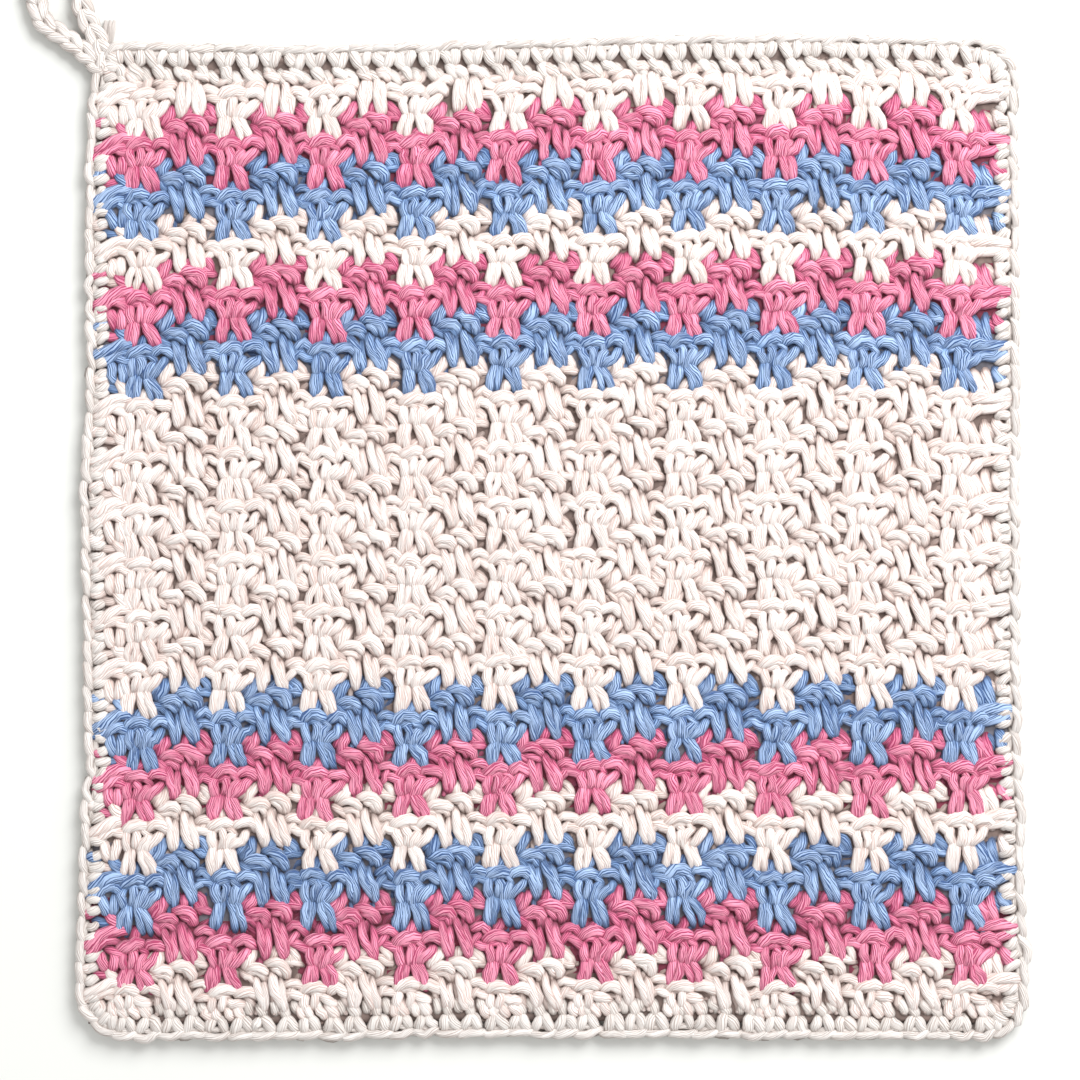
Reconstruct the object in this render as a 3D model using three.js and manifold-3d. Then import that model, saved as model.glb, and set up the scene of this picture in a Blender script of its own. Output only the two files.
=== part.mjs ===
// A crocheted cotton dishcloth, lying flat: the striped body, the border worked round it and the loop.
// Sizes are in millimetres. The origin is the middle of the cloth on its underside. +X is to the right
// and +Y is up when the cloth is seen from above, and +Z is out of its face.

import * as THREE from "three";
import { mergeVertices } from "three/addons/utils/BufferGeometryUtils.js";
import Module from "manifold-3d";

// Driving dimensions of the whole cloth
const CLOTH_WIDTH = 252.4;
const CLOTH_LENGTH = 270;
const CLOTH_THICKNESS = 4.6;
const CORNER_RADIUS = { topRight: 11, topLeft: 7, bottomLeft: 13.5, bottomRight: 11 };
const INNER_RADIUS_LEAST = 1;
const PIECE_GAP = 0.3;

// How far a trimming solid runs past the faces that it trims, and how close two points are to be one
const TRIM_MARGIN = 1;
const SAME_POINT = 1e-4;

// The border is worked in single stitches, a little over six millimetres apart.
const BORDER_WIDTH = 5.4;
const BORDER_STITCH_PITCH = 6.2;
const BORDER_SCALLOP = 0.45;
const BORDER_STEPS_PER_STITCH = 3;

// Bands of the body, from the bottom up. Each is two rows of stitches, raised a little along its middle.
const BODY_BOTTOM = -127.6;
const BAND_HEIGHTS = [
  13.8, 15.4, 14.9, 14.6, 13.8, 14.9, 14.3, 14.3, 14.3, 14.6, 14.3, 14.3, 14.4, 14.2, 13.1, 14.2, 13.8, 15.9,
];
const BAND_RELIEF = 0.45;
const BODY_UNEVENNESS = 0.2;
const UNEVENNESS_ACROSS = 0.055;
const UNEVENNESS_PER_BAND = 0.9;
const STEPS_PER_BAND = 4;
const BODY_COLUMNS = 20;

// The hanging loop is a crochet chain, pressed flat where it lies.
const LOOP_WIDTH = 5.4;
const LOOP_THICKNESS = 4.4;
const LOOP_STITCH_PITCH = 5.2;
const LOOP_STITCH_SWELL = 0.3;
const LOOP_STEPS_PER_STITCH = 3;
const YARN_END_WIDTH = 2.6;

// How far each edge stands out past the straight rectangle, by the place along that edge.
const LEFT_EDGE = [
  { at: -121, out: 2.6 },
  { at: -105, out: 2.3 },
  { at: -93, out: 1.5 },
  { at: -74, out: 1.0 },
  { at: -62, out: -0.4 },
  { at: -40, out: 0.2 },
  { at: 9, out: 1.0 },
  { at: 48, out: -0.4 },
  { at: 98, out: -0.1 },
  { at: 116, out: -0.9 },
  { at: 129, out: -2.6 },
];
const RIGHT_EDGE = [
  { at: -122, out: 2.2 },
  { at: -114, out: 2.5 },
  { at: -93, out: 1.2 },
  { at: -74, out: 1.4 },
  { at: -55, out: 0.2 },
  { at: 10, out: -0.2 },
  { at: 60, out: 0.0 },
  { at: 124, out: -0.4 },
];
const TOP_EDGE = [
  { at: -118, out: -1.2 },
  { at: -95, out: -1.8 },
  { at: -68, out: -2.0 },
  { at: -41, out: -1.5 },
  { at: -14, out: -0.7 },
  { at: 26, out: 0.4 },
  { at: 66, out: 0.9 },
  { at: 100, out: 0.4 },
  { at: 118, out: -0.6 },
];
const BOTTOM_EDGE = [
  { at: -112, out: 0.9 },
  { at: -60, out: 0.8 },
  { at: -30, out: 0.1 },
  { at: 30, out: 0.1 },
  { at: 60, out: 0.7 },
  { at: 114, out: 0.6 },
];

// The middle line of each half of the loop, from its foot at the corner of the cloth to its tip.
const LOOP_LEFT = [
  { x: -121.8, y: 126.6 },
  { x: -125.6, y: 130.5 },
  { x: -132.3, y: 135.7 },
  { x: -136.1, y: 138.0 },
  { x: -138.4, y: 141.0 },
  { x: -139.4, y: 145.0 },
  { x: -140.6, y: 151.5 },
  { x: -139.9, y: 157.2 },
  { x: -136.8, y: 161.6 },
  { x: -132.6, y: 163.0 },
];
const LOOP_RIGHT = [
  { x: -120.6, y: 128.8 },
  { x: -123.1, y: 135.0 },
  { x: -125.8, y: 140.2 },
  { x: -127.2, y: 145.0 },
  { x: -126.7, y: 151.5 },
  { x: -127.9, y: 157.8 },
  { x: -130.8, y: 162.0 },
  { x: -134.4, y: 163.2 },
];
const YARN_END = [
  { x: -121.4, y: 131.2 },
  { x: -120.4, y: 135.4 },
  { x: -119.7, y: 140.2 },
];

const wasm = await Module();
wasm.setup();

const cream = new THREE.MeshStandardMaterial({ color: 0xe9dfd6, roughness: 0.92, metalness: 0 });
const borderCream = new THREE.MeshStandardMaterial({ color: 0xeee7df, roughness: 0.92, metalness: 0 });
const loopCream = new THREE.MeshStandardMaterial({ color: 0xf0e9e2, roughness: 0.92, metalness: 0 });

/** Reads a table at a place along an edge, easing smoothly from each row to the next. */
function readEdge(table, place) {
  const last = table.length - 1;
  if (place <= table[0].at) {
    return table[0].out;
  }
  for (let row = 0; row < last; row += 1) {
    const from = table[row];
    const to = table[row + 1];
    if (place <= to.at) {
      const share = (place - from.at) / (to.at - from.at);
      return THREE.MathUtils.lerp(from.out, to.out, THREE.MathUtils.smoothstep(share, 0, 1));
    }
  }
  return table[last].out;
}

/** Moves a point of the straight rectangle to where it lies in the uneven cloth. */
function settle(x, y) {
  const across = x / CLOTH_WIDTH + 0.5;
  const up = y / CLOTH_LENGTH + 0.5;
  const sideways = THREE.MathUtils.lerp(-readEdge(LEFT_EDGE, y), readEdge(RIGHT_EDGE, y), across);
  const lengthways = THREE.MathUtils.lerp(-readEdge(BOTTOM_EDGE, x), readEdge(TOP_EDGE, x), up);
  return new THREE.Vector2(x + sideways, y + lengthways);
}

/** The straight rectangle with its rounded corners, anticlockwise, at a distance in from the outer edge. */
function roundedRectangle(inset) {
  const right = CLOTH_WIDTH / 2 - inset;
  const top = CLOTH_LENGTH / 2 - inset;
  const path = new THREE.Path();
  const corners = [
    { x: right, y: -top, radius: CORNER_RADIUS.bottomRight, start: -Math.PI / 2 },
    { x: right, y: top, radius: CORNER_RADIUS.topRight, start: 0 },
    { x: -right, y: top, radius: CORNER_RADIUS.topLeft, start: Math.PI / 2 },
    { x: -right, y: -top, radius: CORNER_RADIUS.bottomLeft, start: Math.PI },
  ];
  for (const corner of corners) {
    const radius = Math.max(corner.radius - inset, INNER_RADIUS_LEAST);
    const centreX = corner.x - Math.sign(corner.x) * radius;
    const centreY = corner.y - Math.sign(corner.y) * radius;
    path.absarc(centreX, centreY, radius, corner.start, corner.start + Math.PI / 2, false);
  }
  path.closePath();
  return path;
}

/** Evenly spaced points round the settled outline, at a distance in from the outer edge. */
function outline(inset, count) {
  const points = roundedRectangle(inset).getSpacedPoints(count).slice(0, count);
  return points.map((point) => settle(point.x, point.y));
}

/** A solid from rings of equal length: each joins the next, and the last joins the first or gets caps. */
function skin(rings, closed) {
  const size = rings[0].length;
  const positions = [];
  const faces = [];
  for (const ring of rings) {
    for (const point of ring) {
      positions.push(point.x, point.y, point.z);
    }
  }
  const joints = closed ? rings.length : rings.length - 1;
  for (let ring = 0; ring < joints; ring += 1) {
    const here = ring * size;
    const next = ((ring + 1) % rings.length) * size;
    for (let point = 0; point < size; point += 1) {
      const after = (point + 1) % size;
      faces.push(here + point, next + point, next + after);
      faces.push(here + point, next + after, here + after);
    }
  }
  if (!closed) {
    const end = (rings.length - 1) * size;
    for (let point = 1; point < size - 1; point += 1) {
      faces.push(0, point, point + 1);
      faces.push(end, end + point + 1, end + point);
    }
  }
  const geometry = new THREE.BufferGeometry();
  geometry.setAttribute("position", new THREE.Float32BufferAttribute(positions, 3));
  geometry.setIndex(faces);
  return geometry;
}

/** A manifold solid of a closed geometry. */
function toSolid(geometry) {
  const bare = geometry.clone();
  bare.deleteAttribute("normal");
  bare.deleteAttribute("uv");
  const merged = mergeVertices(bare, SAME_POINT);
  const vertProperties = new Float32Array(merged.attributes.position.array);
  const triVerts = new Uint32Array(merged.index.array);
  return new wasm.Manifold(new wasm.Mesh({ numProp: 3, vertProperties, triVerts }));
}

/** The geometry of a manifold solid. */
function toGeometry(solid) {
  const mesh = solid.getMesh();
  const geometry = new THREE.BufferGeometry();
  geometry.setAttribute("position", new THREE.BufferAttribute(mesh.vertProperties, 3));
  geometry.setIndex(new THREE.BufferAttribute(mesh.triVerts, 1));
  geometry.computeVertexNormals();
  return geometry;
}

/** A named mesh of the cloth. */
function piece(name, geometry, material) {
  const mesh = new THREE.Mesh(geometry, material);
  mesh.name = name;
  return mesh;
}

/** An upright prism over a polygon, from one height to another. */
function prism(points, bottom, top) {
  const shape = new THREE.Shape(points);
  const geometry = new THREE.ExtrudeGeometry(shape, { depth: top - bottom, bevelEnabled: false });
  return geometry.translate(0, 0, bottom);
}

/** How many border stitches go round the cloth. */
function borderStitches() {
  return Math.round(roundedRectangle(0).getLength() / BORDER_STITCH_PITCH);
}

/** Height of the body's face: the bands' middles stand up, and the whole is a little uneven. */
function faceHeight(x, phase) {
  const valley = (0.5 + 0.5 * Math.cos(2 * Math.PI * phase)) * BAND_RELIEF;
  const turn = x * UNEVENNESS_ACROSS + phase * UNEVENNESS_PER_BAND;
  const dip = BODY_UNEVENNESS * (0.5 - 0.5 * Math.sin(turn));
  return CLOTH_THICKNESS - valley - dip;
}

/** The places up the cloth where the body's face has points, each with its phase counted in bands. */
function bandPlaces() {
  const places = [];
  let bottom = BODY_BOTTOM;
  BAND_HEIGHTS.forEach((height, band) => {
    for (let step = 0; step < STEPS_PER_BAND; step += 1) {
      const share = step / STEPS_PER_BAND;
      places.push({ y: bottom + height * share, phase: band + share });
    }
    bottom += height;
  });
  places.push({ y: bottom, phase: BAND_HEIGHTS.length });
  places.unshift({ y: places[0].y - BORDER_WIDTH, phase: 0 });
  places.push({ y: bottom + BORDER_WIDTH, phase: BAND_HEIGHTS.length });
  return places;
}

/** The striped body: a slab with the bands' relief on its face, trimmed to the outline inside the border. */
function makeBody() {
  const base = -TRIM_MARGIN;
  const reach = CLOTH_WIDTH / 2;
  const rings = bandPlaces().map((place) => {
    const ring = [new THREE.Vector3(-reach, place.y, base)];
    ring.push(new THREE.Vector3(reach, place.y, base));
    for (let column = BODY_COLUMNS; column >= 0; column -= 1) {
      const x = THREE.MathUtils.lerp(-reach, reach, column / BODY_COLUMNS);
      ring.push(new THREE.Vector3(x, place.y, faceHeight(x, place.phase)));
    }
    return ring.map((point) => {
      const settled = settle(point.x, point.y);
      return new THREE.Vector3(settled.x, settled.y, point.z);
    });
  });
  const slab = toSolid(skin(rings, false));
  const trim = outline(BORDER_WIDTH + PIECE_GAP, borderStitches());
  const body = slab.intersect(toSolid(prism(trim, 0, CLOTH_THICKNESS + TRIM_MARGIN)));
  return piece("cloth", toGeometry(body), cream);
}

/** Points of the border's outer edge: the outline with a low scallop at each stitch. */
function scallopedEdge(grow) {
  const stitches = borderStitches();
  const count = stitches * BORDER_STEPS_PER_STITCH;
  const outer = outline(0, count);
  const inner = outline(BORDER_WIDTH, count);
  return outer.map((point, index) => {
    const wave = Math.cos((2 * Math.PI * index) / BORDER_STEPS_PER_STITCH);
    const outward = point.clone().sub(inner[index]).normalize();
    return point.clone().addScaledVector(outward, grow - BORDER_SCALLOP * (0.5 - 0.5 * wave));
  });
}

/** The border: one ring round the body, with a flat underside and a bump at each stitch. */
function makeBorder() {
  const stitches = borderStitches();
  const corners = outline(BORDER_WIDTH, stitches);
  const section = [
    { across: 0, up: 0 },
    { across: 0.9, up: 0 },
    { across: 1, up: 0.42 },
    { across: 0.92, up: 0.78 },
    { across: 0.62, up: 1 },
    { across: 0.28, up: 0.97 },
    { across: 0, up: 0.74 },
  ];
  const rings = scallopedEdge(0).map((outer, index) => {
    const stitch = Math.floor(index / BORDER_STEPS_PER_STITCH);
    const share = (index % BORDER_STEPS_PER_STITCH) / BORDER_STEPS_PER_STITCH;
    const inner = corners[stitch].clone().lerp(corners[(stitch + 1) % stitches], share);
    const bump = BORDER_SCALLOP * (0.5 - 0.5 * Math.cos(2 * Math.PI * share));
    return section.map((corner) => {
      const point = inner.clone().lerp(outer, corner.across);
      return new THREE.Vector3(point.x, point.y, corner.up * (CLOTH_THICKNESS - bump));
    });
  });
  return piece("edging", skin(rings, true), borderCream);
}

/** A lying strand with a flat underside along a run of points, with a low swell at each stitch. */
function layStrand(route, width, thickness, pitch, swell) {
  const curve = new THREE.CatmullRomCurve3(route.map((point) => new THREE.Vector3(point.x, point.y, 0)));
  const length = curve.getLength();
  const steps = Math.ceil((LOOP_STEPS_PER_STITCH * length) / pitch);
  const section = [
    { across: -0.34, up: 0 },
    { across: 0.34, up: 0 },
    { across: 0.5, up: 0.34 },
    { across: 0.46, up: 0.74 },
    { across: 0.22, up: 1 },
    { across: -0.22, up: 1 },
    { across: -0.46, up: 0.74 },
    { across: -0.5, up: 0.34 },
  ];
  const rings = [];
  for (let step = 0; step <= steps; step += 1) {
    const middle = curve.getPointAt(step / steps);
    const ahead = curve.getTangentAt(step / steps);
    const side = new THREE.Vector3(ahead.y, -ahead.x, 0);
    const girth = width + swell * Math.cos((2 * Math.PI * (step / steps) * length) / pitch);
    const ring = section.map((corner) => {
      const point = middle.clone().addScaledVector(side, corner.across * girth);
      point.z = corner.up * thickness;
      return point;
    });
    rings.push(ring);
  }
  return toSolid(skin(rings, false));
}

/** The hanging loop: a chain that leaves the top left corner and comes back to it, with its cut yarn end. */
function makeLoop() {
  const left = layStrand(LOOP_LEFT, LOOP_WIDTH, LOOP_THICKNESS, LOOP_STITCH_PITCH, LOOP_STITCH_SWELL);
  const right = layStrand(LOOP_RIGHT, LOOP_WIDTH, LOOP_THICKNESS, LOOP_STITCH_PITCH, LOOP_STITCH_SWELL);
  const end = layStrand(YARN_END, YARN_END_WIDTH, YARN_END_WIDTH, YARN_END_WIDTH, 0);
  const seat = toSolid(prism(scallopedEdge(PIECE_GAP), -TRIM_MARGIN, CLOTH_THICKNESS + TRIM_MARGIN));
  const loop = left.add(right).add(end).subtract(seat);
  return piece("hanging_loop", toGeometry(loop), loopCream);
}

const dishcloth = new THREE.Group();
dishcloth.add(makeBody());
dishcloth.add(makeBorder());
dishcloth.add(makeLoop());

export default dishcloth;
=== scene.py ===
"""A crocheted cotton dishcloth lying flat, dressed stitch by stitch around its plain solids.

Lengths are in millimetres until a mesh is made, and +X is to the right and +Y up when the cloth is seen
from above. The charts are drawn on squared paper: one square is CHART_SQUARE wide, a stitch is a few
strands of yarn, and each strand is a short run of points with their height above the surface.
"""

import logging
import math
from dataclasses import dataclass, field, replace
from enum import Enum

import bpy
import numpy as np
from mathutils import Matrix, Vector


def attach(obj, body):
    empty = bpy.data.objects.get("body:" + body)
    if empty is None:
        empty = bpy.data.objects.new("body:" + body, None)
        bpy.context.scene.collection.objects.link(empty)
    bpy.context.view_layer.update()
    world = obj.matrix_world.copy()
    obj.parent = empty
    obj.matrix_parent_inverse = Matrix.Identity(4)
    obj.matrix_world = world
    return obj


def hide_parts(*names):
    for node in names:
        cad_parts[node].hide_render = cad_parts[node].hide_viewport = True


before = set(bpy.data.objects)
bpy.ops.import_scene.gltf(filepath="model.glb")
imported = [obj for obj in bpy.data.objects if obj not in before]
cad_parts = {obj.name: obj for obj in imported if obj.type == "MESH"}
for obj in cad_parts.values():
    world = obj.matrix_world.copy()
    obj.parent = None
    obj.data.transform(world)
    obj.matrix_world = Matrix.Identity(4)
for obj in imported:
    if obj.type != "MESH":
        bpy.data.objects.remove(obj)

LOG = logging.getLogger("dishcloth")

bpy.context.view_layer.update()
BODY = "root"

METRES = 0.001
CHART_SQUARE = 0.27
CLOTH_WIDTH = 252.4
CLOTH_LENGTH = 270.0
CLOTH_THICKNESS = 4.6
SEED = 41
TINY = 1e-6

Colour = tuple[float, float, float]
Rows = tuple[tuple[float, ...], ...]


class Yarn(Enum):
    """The yarns of the cloth, each by the name of its finish."""

    CREAM = "cream_yarn"
    PINK = "pink_yarn"
    BLUE = "blue_yarn"
    BORDER = "border_yarn"
    LOOP = "loop_yarn"


# The order of the colours is the same counted from the bottom edge and from the top edge.
HALF_STRIPES = (Yarn.CREAM, Yarn.PINK, Yarn.BLUE, Yarn.CREAM, Yarn.PINK, Yarn.BLUE)
MIDDLE_BANDS = 6
STRIPES = HALF_STRIPES + (Yarn.CREAM,) * MIDDLE_BANDS + HALF_STRIPES[::-1]


@dataclass(frozen=True)
class Strand:
    """One strand of yarn in a chart.

    Each point is (squares to the right, squares up, millimetres above the surface).
    """

    name: str
    width: float
    thickness: float
    points: Rows

    def routes(
        self, count: int, rng: np.random.Generator, shift: float, height_shift: float = 0.0,
        whole_shift: np.ndarray | float = 0.0,
    ) -> np.ndarray:
        """Return the strand's points in millimetres for each of some stitches, a little unlike each time.

        Args:
            count: number of stitches.
            rng: the source of the unevenness.
            shift: how far each point strays along the surface.
            height_shift: how far it strays in height.
            whole_shift: how far each whole stitch is moved along the surface.

        Returns:
            An array of stitches by points by xyz.
        """
        route = np.repeat(np.array(self.points, float)[None], count, axis=0)
        route[:, :, :2] *= CHART_SQUARE
        route[:, :, :2] += whole_shift + rng.normal(0.0, shift, route[:, :, :2].shape)
        if height_shift:
            route[:, :, 2] += rng.normal(0.0, height_shift, route[:, :, 2].shape)
        return route


def chart(*rows: tuple) -> tuple[Strand, ...]:
    """Return a chart's strands, from rows of name, width, thickness and then the points in order."""
    return tuple(Strand(name, width, thickness, tuple(points)) for name, width, thickness, *points in rows)


# A column stitch: two doubled legs side by side, their wraps over the top and the chains between columns.
LEG_PAIR = chart(
    ("first leg, left half", 2.35, 2.1,
     (-16, 39, 2.2), (-13, 30, 3.1), (-9.5, 19, 3.6), (-8, 9, 3.5), (-7, -1, 2.3)),
    ("first leg, right half", 2.15, 2.0,
     (-5, 33, 2.2), (-5, 24, 3.1), (-4, 15, 3.4), (-4.5, 7, 3.3), (-6, -2, 2.2)),
    ("second leg, left half", 2.5, 2.1,
     (2, 42, 2.3), (3, 32, 3.2), (6, 20, 3.6), (10, 9, 3.5), (13.5, -1, 2.3)),
    ("second leg, right half", 2.35, 2.1,
     (10, 35, 2.2), (11.5, 26, 3.1), (13.5, 16, 3.5), (15.5, 7, 3.3), (14.5, -1, 2.2)),
    ("first wrap", 2.75, 2.2, (-27, 42, 2.1), (-19, 45, 3.1), (-11, 46, 3.7), (-4, 43, 3.6), (-1, 36, 2.5)),
    ("first wrap, under", 2.2, 2.0,
     (-25, 37, 1.9), (-18, 39, 2.8), (-10, 40, 3.1), (-5, 36, 2.9), (-5, 30, 2.2)),
    ("second wrap", 2.85, 2.2,
     (-9, 50, 2.1), (-1, 52, 3.2), (7, 51, 3.7), (14, 47, 3.7), (17, 40, 3.3), (16, 33, 2.3)),
    ("second wrap, under", 2.2, 2.0, (-1, 46, 2.4), (5, 46, 3.2), (10, 42, 3.2), (12, 35, 2.4)),
    ("top left plump", 2.95, 2.2,
     (-28, 44, 2.0), (-23, 49, 2.9), (-19, 55, 3.2), (-16, 61, 2.9), (-14, 67, 2.0)),
    ("top left outer", 2.65, 2.1, (-33, 49, 1.9), (-28, 54, 2.7), (-23, 59, 2.7), (-19, 65, 1.9)),
    ("top middle", 2.85, 2.1, (-3, 53, 2.0), (2, 57, 2.7), (5, 62, 2.7), (6, 68, 2.0)),
    ("top right, outer", 2.4, 2.1, (16, 67, 2.0), (22, 62, 2.8), (27, 55, 3.0), (29, 46, 2.1)),
    ("top right, inner", 2.3, 2.1, (14, 61, 1.9), (18, 57, 2.7), (22, 51, 2.9), (23, 45, 2.0)),
    ("right bar", 2.4, 2.1, (13, 53, 2.1), (19, 52, 2.9), (26, 50, 3.0), (33, 47, 2.2)),
    ("right foot strand", 2.3, 2.0, (14, 10, 2.0), (18, 16, 2.8), (23, 22, 3.0), (28, 27, 2.2)),
    ("left slant", 2.2, 2.0, (-31, 43, 1.9), (-25, 39, 2.7), (-19, 34, 2.8), (-14, 28, 2.0)),
    ("low right arch", 2.55, 2.1,
     (13, 26, 2.1), (19, 30, 3.0), (26, 31, 3.2), (32, 27, 2.9), (36, 20, 2.1)),
)

# The column between: short knuckles and a hook over two pairs of spread legs, under two arches.
KNOT = chart(
    ("first leg, left half", 2.4, 2.1,
     (-5.5, 38, 1.7), (-8, 27, 3.1), (-11, 16, 3.5), (-12.5, 6, 3.2), (-12.5, -4.5, 1.5)),
    ("first leg, right half", 2.3, 2.0,
     (-2.5, 36, 1.6), (-3, 26, 3.0), (-4.5, 16, 3.4), (-6.5, 7, 3.2), (-7, -4.5, 1.5)),
    ("second leg, left half", 2.4, 2.1,
     (2, 36, 1.6), (3.5, 27, 3.0), (6.5, 17, 3.4), (9.5, 7, 3.2), (11, -4.5, 1.5)),
    ("second leg, right half", 2.35, 2.1,
     (4.5, 38, 1.7), (9, 26, 3.1), (13.5, 16, 3.6), (16.5, 6, 3.3), (18, -4.5, 1.5)),
    ("peak between the legs above", 2.75, 2.1, (-6, 53, 1.9), (-1, 58, 2.7), (3, 63, 2.7), (5, 69, 1.9)),
    ("left arch", 3.1, 2.2, (-17, 44, 2.2), (-12, 49, 3.2), (-3, 53, 3.7), (6, 52, 3.6), (11, 46, 2.4)),
    ("left arch, under", 2.2, 2.0, (-12, 42, 2.0), (-6, 46, 2.9), (1, 47, 3.1), (6, 43, 2.2)),
    ("right arch", 2.95, 2.2, (9, 44, 2.2), (13, 50, 3.2), (21, 53, 3.7), (28, 50, 3.5), (32, 42, 2.4)),
    ("left chain", 2.5, 2.0, (-32, 48, 2.0), (-25, 47, 2.9), (-18, 44, 3.2), (-12, 40, 2.9), (-9, 35, 2.1)),
    ("left knuckle", 2.6, 2.2, (-8, 46, 2.4), (-10.5, 40, 3.3), (-10, 33, 3.7), (-7.5, 23, 3.1)),
    ("middle knuckle", 2.6, 2.2, (-2, 47, 2.5), (1, 42, 3.4), (0.5, 35, 3.7), (-3.5, 26, 3.2)),
    ("hook, near", 2.5, 2.1, (2.5, 22, 2.9), (4.5, 31, 3.6), (9, 38, 3.6), (14, 42, 2.8)),
    ("hook, far", 2.7, 2.2, (26, 46, 2.2), (23, 40, 3.2), (18, 35, 3.7), (12, 30, 3.5), (7.5, 24, 2.9)),
    ("arch tail", 1.85, 1.9, (3, 49, 2.5), (8, 46, 3.2), (12, 42, 3.1), (14, 38, 2.3)),
)

# The first row's knots, whose legs spread down into the bottom border.
BOTTOM_KNOT = chart(
    ("left outer leg", 2.6, 2.1, (-14, 12, 2.2), (-17, 3, 3.2), (-16, -6, 3.3), (-11, -20, 2.2)),
    ("left inner leg", 2.5, 2.1, (-7, 11, 2.2), (-9, 2, 3.2), (-8, -6, 3.3), (-4, -20, 2.2)),
    ("right inner leg", 2.6, 2.1, (1, 10, 2.2), (3, 3, 3.2), (6, -5, 3.3), (8, -20, 2.2)),
    ("right outer leg", 2.8, 2.1, (7, 13, 2.2), (12, 6, 3.2), (16, -2, 3.3), (19, -18, 2.2)),
    ("left arch", 3.1, 2.2, (-18, 17, 2.2), (-12, 23, 3.2), (-4, 27, 3.7), (5, 26, 3.6), (10, 20, 2.4)),
    ("left arch, under", 2.3, 2.0, (-12, 17, 2.0), (-6, 21, 2.9), (1, 21, 3.1), (6, 17, 2.2)),
    ("right arch", 2.9, 2.2, (8, 20, 2.2), (13, 24, 3.2), (21, 26, 3.6), (28, 22, 3.4), (33, 15, 2.3)),
    ("left chain", 2.5, 2.0, (-34, 20, 2.0), (-26, 19, 2.9), (-18, 17, 3.2), (-12, 13, 2.2)),
    ("left knuckle", 2.6, 2.1, (-9, 20, 2.4), (-12, 14, 3.3), (-12, 7, 3.5), (-10, 0, 2.6)),
    ("middle knuckle", 2.4, 2.1, (-2, 21, 2.5), (-1, 15, 3.4), (-2, 8, 3.5), (-4, 2, 2.6)),
    ("right knuckle", 2.9, 2.1, (2, 18, 2.4), (8, 14, 3.4), (15, 11, 3.5), (21, 9, 2.4)),
)
BOTTOM_FILL = chart(
    ("between the legs", 2.4, 2.0, (1, 26, 1.9), (2, 16, 2.4), (4, 6, 2.4), (5, -4, 1.9)),
    ("beside the legs", 2.2, 2.0, (-21, 24, 1.9), (-20, 16, 2.5), (-18, 8, 2.6), (-14, 2, 1.9)),
)

# The last row under the top border: its wraps slant into the border stitches.
TOP_LEG_PAIR = chart(
    ("first leg, left half", 2.5, 2.2,
     (-5.5, 39, 2.2), (-8, 31, 3.2), (-8, 20, 3.6), (-6.5, 9, 3.4), (-5, -2, 2.3)),
    ("first leg, right half", 2.4, 2.2,
     (-3.5, 38, 2.2), (-2, 30, 3.2), (-1.5, 19, 3.5), (-2.5, 8, 3.3), (-4, -2, 2.2)),
    ("second leg, left half", 2.5, 2.2,
     (5.5, 39, 2.2), (6, 31, 3.2), (8, 19, 3.6), (11, 8, 3.4), (13, -2, 2.3)),
    ("second leg, right half", 2.4, 2.2,
     (8, 38, 2.2), (12, 29, 3.2), (14.5, 18, 3.5), (15.5, 8, 3.3), (15, -2, 2.2)),
    ("first wrap", 2.7, 2.1, (-15, 45, 2.2), (-9, 44, 3.2), (-4, 42, 3.4), (1, 37, 2.4)),
    ("second wrap", 2.7, 2.1, (2, 46, 2.2), (8, 44, 3.2), (14, 41, 3.3), (18, 34, 2.3)),
    ("left high arch", 2.8, 2.1,
     (-34, 27, 2.0), (-28, 33, 2.9), (-21, 36, 3.2), (-15, 34, 2.9), (-12, 27, 2.0)),
    ("low right arch", 2.6, 2.2, (11, 24, 2.1), (17, 28, 3.0), (24, 28, 3.2), (31, 23, 2.9), (35, 17, 2.1)),
)
TOP_FILL = chart(
    ("left web", 2.4, 2.0, (-24, 57, 1.9), (-16, 60, 2.7), (-8, 61, 2.7), (-2, 57, 1.9)),
    ("right web", 2.4, 2.0, (3, 58, 1.9), (9, 62, 2.7), (17, 61, 2.7), (24, 56, 1.9)),
)

# The row ends inside the border, with squares counted inwards from the outer edge.
LEFT_END = chart(
    ("tuft", 3.0, 2.2, (24, 52, 2.0), (17, 51, 3.0), (11, 49, 3.3), (6, 49, 2.4)),
    ("high slant", 3.0, 2.2, (29, 53, 2.0), (33, 45, 3.0), (40, 38, 3.2), (46, 35, 2.2)),
    ("arm", 3.2, 2.3, (51, 29, 2.2), (39, 33, 3.4), (26, 29, 3.7), (14, 22, 3.6), (5, 18, 2.7)),
    ("low arm", 3.0, 2.2, (46, 21, 2.1), (35, 24, 3.1), (24, 20, 3.3), (14, 14, 3.2), (6, 11, 2.5)),
    ("outer leg", 3.0, 2.2, (23, 15, 2.3), (24, 8, 3.3), (26, 0, 3.3), (29, -8, 2.2)),
    ("inner leg", 3.0, 2.2, (36, 17, 2.3), (36, 8, 3.2), (35, 0, 3.3), (33, -8, 2.2)),
    ("under the legs", 2.6, 2.0, (40, -10, 1.9), (31, -13, 2.6), (22, -12, 2.6), (14, -8, 1.9)),
)
RIGHT_END = chart(
    ("high slant, inner", 3.2, 2.2, (47, 55, 2.0), (43, 44, 3.0), (41, 34, 3.2), (43, 23, 2.2)),
    ("high slant, outer", 3.2, 2.2, (33, 55, 2.0), (34, 44, 3.0), (32, 34, 3.2), (28, 24, 2.2)),
    ("arm", 3.1, 2.3, (54, 20, 2.2), (41, 23, 3.3), (27, 25, 3.6), (15, 24, 3.6), (5, 23, 2.6)),
    ("low arm", 2.8, 2.2, (50, 11, 2.1), (38, 13, 3.0), (26, 14, 3.2), (16, 17, 3.3), (9, 19, 2.6)),
    ("tuft", 3.1, 2.2, (24, 4, 2.2), (21, -3, 3.2), (18, -10, 3.3), (15, -17, 2.2)),
    ("behind", 2.6, 2.0, (38, 0, 1.8), (32, -4, 2.5), (27, -10, 2.5), (24, -18, 1.8)),
)

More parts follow.
